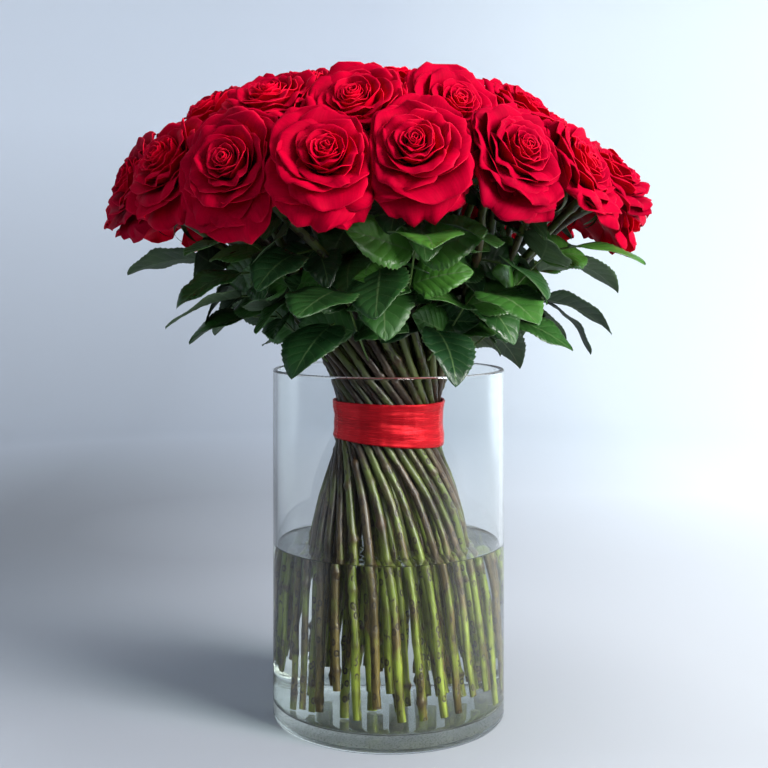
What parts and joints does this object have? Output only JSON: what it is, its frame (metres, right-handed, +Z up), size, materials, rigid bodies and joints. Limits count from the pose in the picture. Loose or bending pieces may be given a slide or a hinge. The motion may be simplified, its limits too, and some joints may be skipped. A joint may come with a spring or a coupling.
{
  "type": "roses in a vase",
  "caption": "Hand-tied dome bouquet of open red roses with a leaf collar and satin ribbon, standing in a clear glass cylinder vase half full of water; stands on its flat foot.",
  "frame": {"origin": "the middle of the vase's foot, on the surface it stands on", "axes": "+Z is up along the vase; the front of the bouquet faces -Y, with +X to its right as seen from the front"},
  "size_m": [0.5961, 0.5917, 0.7053],
  "materials": {
    "rose": "satin",
    "greenery": "satin",
    "satin": "gloss",
    "glass": "polished",
    "water": "polished"
  },
  "bodies": {
    "root": {"rose_01": "rose", "rose_02": "rose", "rose_03": "rose", "rose_04": "rose", "rose_05": "rose", "rose_06": "rose", "rose_07": "rose", "rose_08": "rose", "rose_09": "rose", "rose_10": "rose", "rose_11": "rose", "rose_12": "rose", "rose_13": "rose", "rose_14": "rose", "rose_15": "rose", "rose_16": "rose", "rose_17": "rose", "rose_18": "rose", "rose_19": "rose", "rose_20": "rose", "rose_21": "rose", "rose_22": "rose", "rose_23": "rose", "rose_24": "rose", "rose_25": "rose", "rose_26": "rose", "rose_27": "rose", "rose_28": "rose", "rose_29": "rose", "rose_30": "rose", "rose_31": "rose", "rose_32": "rose", "rose_33": "rose", "rose_34": "rose", "rose_35": "rose", "rose_36": "rose", "rose_37": "rose", "rose_38": "rose", "rose_39": "rose", "rose_40": "rose", "rose_41": "rose", "rose_42": "rose", "leaf_spray_01": "greenery", "leaf_spray_02": "greenery", "leaf_spray_03": "greenery", "leaf_spray_04": "greenery", "leaf_spray_05": "greenery", "leaf_spray_06": "greenery", "leaf_spray_07": "greenery", "leaf_spray_08": "greenery", "leaf_spray_09": "greenery", "leaf_spray_10": "greenery", "leaf_spray_11": "greenery", "leaf_spray_12": "greenery", "leaf_spray_13": "greenery", "leaf_spray_14": "greenery", "ribbon": "satin", "vase": "glass", "water": "water"}
  },
  "joints": []
}
